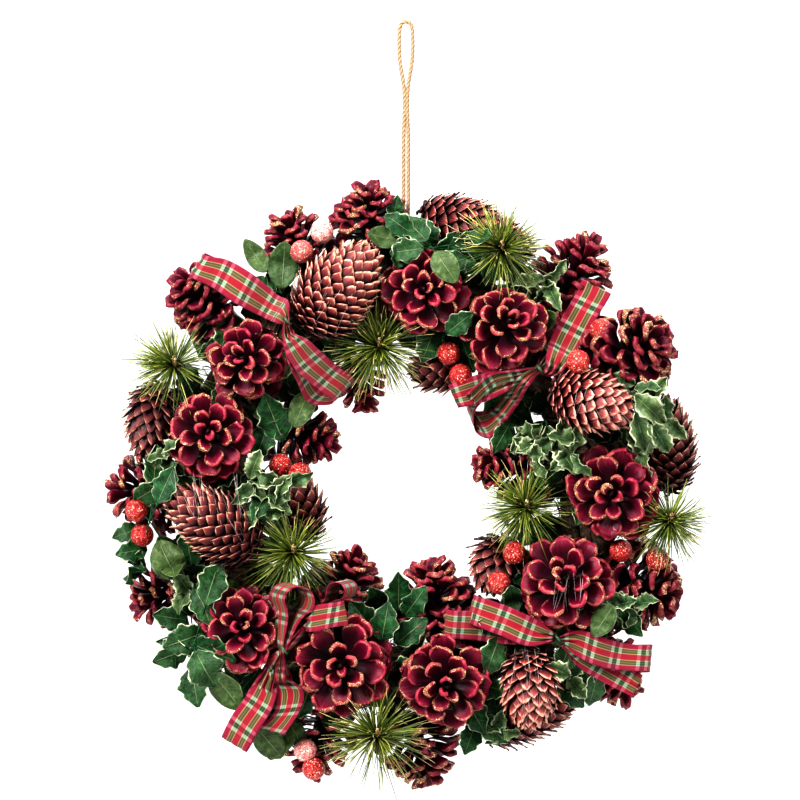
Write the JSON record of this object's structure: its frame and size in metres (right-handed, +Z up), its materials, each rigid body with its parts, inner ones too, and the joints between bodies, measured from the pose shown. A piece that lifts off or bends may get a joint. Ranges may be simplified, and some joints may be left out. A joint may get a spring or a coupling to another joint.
{
  "type": "pine cone wreath",
  "caption": "Round wreath of dyed pine and spruce cones, leaves, berries, needle sprays and tartan bows on a vine ring, hung from a long twine loop.",
  "frame": {"origin": "the nail under the crown of the twine loop, with the ring hanging straight below it", "axes": "+Z up through the twine loop, -Y out of the wreath's front, +X to the viewer's right"},
  "size_m": [0.3688, 0.0917, 0.4689],
  "materials": {
    "vine": "rough bark",
    "jute_twine": "hairy twisted fibre",
    "burgundy_pine_cone": "dyed, satin, glitter on the scale edges",
    "red_spruce_cone": "dyed, matt, pale scale edges",
    "leaf_and_berry": "printed fabric leaves, glittered berries",
    "tartan_ribbon": "woven, slight sheen",
    "pine_needle": "glittered tips"
  },
  "bodies": {
    "root": {"vine_ring": "vine", "twine_loop": "jute_twine", "pine_cone_front_1": "burgundy_pine_cone", "pine_cone_front_2": "burgundy_pine_cone", "pine_cone_front_3": "burgundy_pine_cone", "pine_cone_front_4": "burgundy_pine_cone", "pine_cone_front_5": "burgundy_pine_cone", "pine_cone_front_6": "burgundy_pine_cone", "pine_cone_front_7": "burgundy_pine_cone", "pine_cone_front_8": "burgundy_pine_cone", "pine_cone_front_9": "burgundy_pine_cone", "pine_cone_outer_1": "burgundy_pine_cone", "pine_cone_outer_2": "burgundy_pine_cone", "pine_cone_outer_3": "burgundy_pine_cone", "pine_cone_outer_4": "burgundy_pine_cone", "pine_cone_outer_5": "burgundy_pine_cone", "pine_cone_outer_6": "burgundy_pine_cone", "pine_cone_outer_7": "burgundy_pine_cone", "pine_cone_outer_8": "burgundy_pine_cone", "pine_cone_outer_9": "burgundy_pine_cone", "pine_cone_outer_10": "burgundy_pine_cone", "pine_cone_outer_11": "burgundy_pine_cone", "pine_cone_inner_1": "burgundy_pine_cone", "pine_cone_inner_2": "burgundy_pine_cone", "pine_cone_inner_3": "burgundy_pine_cone", "pine_cone_inner_4": "burgundy_pine_cone", "pine_cone_inner_5": "burgundy_pine_cone", "spruce_cone_1": "red_spruce_cone", "spruce_cone_2": "red_spruce_cone", "spruce_cone_3": "red_spruce_cone", "spruce_cone_4": "red_spruce_cone", "spruce_cone_5": "red_spruce_cone", "spruce_cone_6": "red_spruce_cone", "spruce_cone_7": "red_spruce_cone", "spruce_cone_8": "red_spruce_cone", "spruce_cone_9": "red_spruce_cone", "spruce_cone_10": "red_spruce_cone", "spruce_cone_11": "red_spruce_cone", "leaf_sprig_1": "leaf_and_berry", "leaf_sprig_2": "leaf_and_berry", "leaf_sprig_3": "leaf_and_berry", "leaf_sprig_4": "leaf_and_berry", "leaf_sprig_5": "leaf_and_berry", "leaf_sprig_6": "leaf_and_berry", "leaf_sprig_7": "leaf_and_berry", "leaf_sprig_8": "leaf_and_berry", "leaf_sprig_9": "leaf_and_berry", "leaf_sprig_10": "leaf_and_berry", "leaf_sprig_11": "leaf_and_berry", "ribbon_bow_1": "tartan_ribbon", "ribbon_bow_2": "tartan_ribbon", "ribbon_bow_3": "tartan_ribbon", "ribbon_bow_4": "tartan_ribbon", "needle_spray_1": "pine_needle", "needle_spray_2": "pine_needle", "needle_spray_3": "pine_needle", "needle_spray_4": "pine_needle", "needle_spray_5": "pine_needle", "needle_spray_6": "pine_needle", "needle_spray_7": "pine_needle"}
  },
  "joints": []
}
